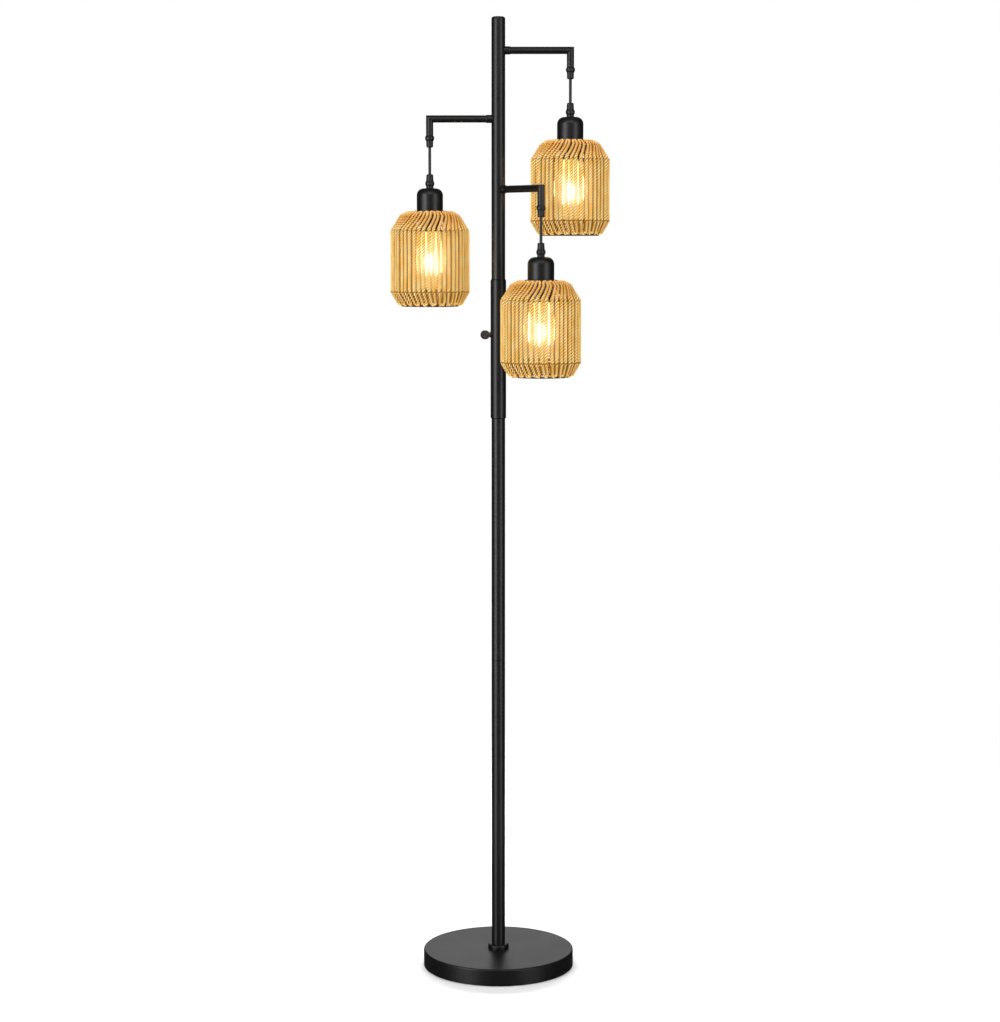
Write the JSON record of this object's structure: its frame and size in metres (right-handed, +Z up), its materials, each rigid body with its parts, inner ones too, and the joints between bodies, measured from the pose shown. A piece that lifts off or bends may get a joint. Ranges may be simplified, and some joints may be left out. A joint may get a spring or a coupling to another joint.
{
  "type": "tree floor lamp",
  "caption": "Tree floor lamp: round weighted base, slim black pole with bent arms, each hanging a barrel shade of wound rope on a short cord, with a turn switch on the pole.",
  "frame": {"origin": "on the floor, on the pole's axis, in the face the lamp rests on", "axes": "+Z up along the pole; +X along the uppermost arm; the viewer stands at -Y"},
  "size_m": [0.3792, 0.3005, 1.676],
  "materials": {
    "black_paint": "powder-coated steel, matt black",
    "black_plastic": "moulded plastic, satin black",
    "phenolic": "moulded lamp holder, black",
    "cord_jacket": "black-brown cord jacket",
    "wire_jacket": "insulated wire",
    "cast_iron": "raw casting",
    "zinc_steel": "zinc-plated steel",
    "foam_pad": "soft black foam sheet",
    "frame_wire": "painted steel wire, tan",
    "rope": "twisted plant-fibre rope, golden tan",
    "bulb_glass": "frosted glass",
    "bulb_cap": "drawn aluminium screw cap"
  },
  "bodies": {
    "stand": {"base_cover": "black_paint", "base_weight": "cast_iron", "base_bottom_plate": "black_paint", "base_pad": "foam_pad", "base_washer": "zinc_steel", "base_nut": "zinc_steel", "base_nipple": "zinc_steel", "cord_grommet": "black_plastic", "pole_foot_ring": "black_paint", "lower_pole": "black_paint", "middle_pole": "black_paint", "upper_pole": "black_paint", "tube_inserts": "zinc_steel", "seam_stud": "zinc_steel", "switch_sleeve": "black_paint", "pole_cap": "black_plastic", "switch_body": "phenolic", "switch_ring_nut": "black_plastic", "pole_wires": "wire_jacket", "arm_1": "black_paint", "arm_ferrule_1": "black_paint", "upper_cord_grip_1": "black_plastic", "arm_2": "black_paint", "arm_ferrule_2": "black_paint", "upper_cord_grip_2": "black_plastic", "arm_3": "black_paint", "arm_ferrule_3": "black_paint", "upper_cord_grip_3": "black_plastic"},
    "knob": {"switch_shaft": "black_plastic", "switch_knob": "black_plastic"},
    "cord_1": {"pendant_cord_1": "cord_jacket"},
    "lamp_1": {"lower_cord_grip_1": "black_plastic", "holder_lead_1": "wire_jacket", "socket_cup_1": "black_paint", "lamp_holder_1": "phenolic", "shade_ring_1": "phenolic", "shade_frame_1": "frame_wire", "shade_rope_1": "rope", "bulb_cap_1": "bulb_cap", "bulb_glass_1": "bulb_glass"},
    "cord_2": {"pendant_cord_2": "cord_jacket"},
    "lamp_2": {"lower_cord_grip_2": "black_plastic", "holder_lead_2": "wire_jacket", "socket_cup_2": "black_paint", "lamp_holder_2": "phenolic", "shade_ring_2": "phenolic", "shade_frame_2": "frame_wire", "shade_rope_2": "rope", "bulb_cap_2": "bulb_cap", "bulb_glass_2": "bulb_glass"},
    "cord_3": {"pendant_cord_3": "cord_jacket"},
    "lamp_3": {"lower_cord_grip_3": "black_plastic", "holder_lead_3": "wire_jacket", "socket_cup_3": "black_paint", "lamp_holder_3": "phenolic", "shade_ring_3": "phenolic", "shade_frame_3": "frame_wire", "shade_rope_3": "rope", "bulb_cap_3": "bulb_cap", "bulb_glass_3": "bulb_glass"}
  },
  "joints": [
    {"name": "knob_turn", "type": "hinge", "parent": "stand", "child": "knob", "pos_m": [0, 0, 1.1298], "axis": [-0.9063, -0.4226, 0], "continuous": true},
    {"name": "cord_swing_1", "type": "hinge", "parent": "stand", "child": "cord_1", "pos_m": [0.1244, 0, 1.5726], "axis": [1, 0, 0], "range_deg": [-5, 8]},
    {"name": "lamp_tilt_1", "type": "hinge", "parent": "cord_1", "child": "lamp_1", "pos_m": [0.1244, 0, 1.5264], "axis": [0, -1, 0], "range_deg": [-6, 12]},
    {"name": "cord_swing_2", "type": "hinge", "parent": "stand", "child": "cord_2", "pos_m": [-0.1188, 0, 1.4559], "axis": [-1, 0, 0], "range_deg": [-8, 8]},
    {"name": "lamp_tilt_2", "type": "hinge", "parent": "cord_2", "child": "lamp_2", "pos_m": [-0.1188, 0, 1.4041], "axis": [0, 1, 0], "range_deg": [-6, 12]},
    {"name": "cord_swing_3", "type": "hinge", "parent": "stand", "child": "cord_3", "pos_m": [0.07245, -0.09791, 1.335], "axis": [0.5948, -0.8039, 0], "range_deg": [-8, 8]},
    {"name": "lamp_tilt_3", "type": "hinge", "parent": "cord_3", "child": "lamp_3", "pos_m": [0.07245, -0.09791, 1.2862], "axis": [-0.8039, -0.5948, 0], "range_deg": [-6, 12]}
  ]
}
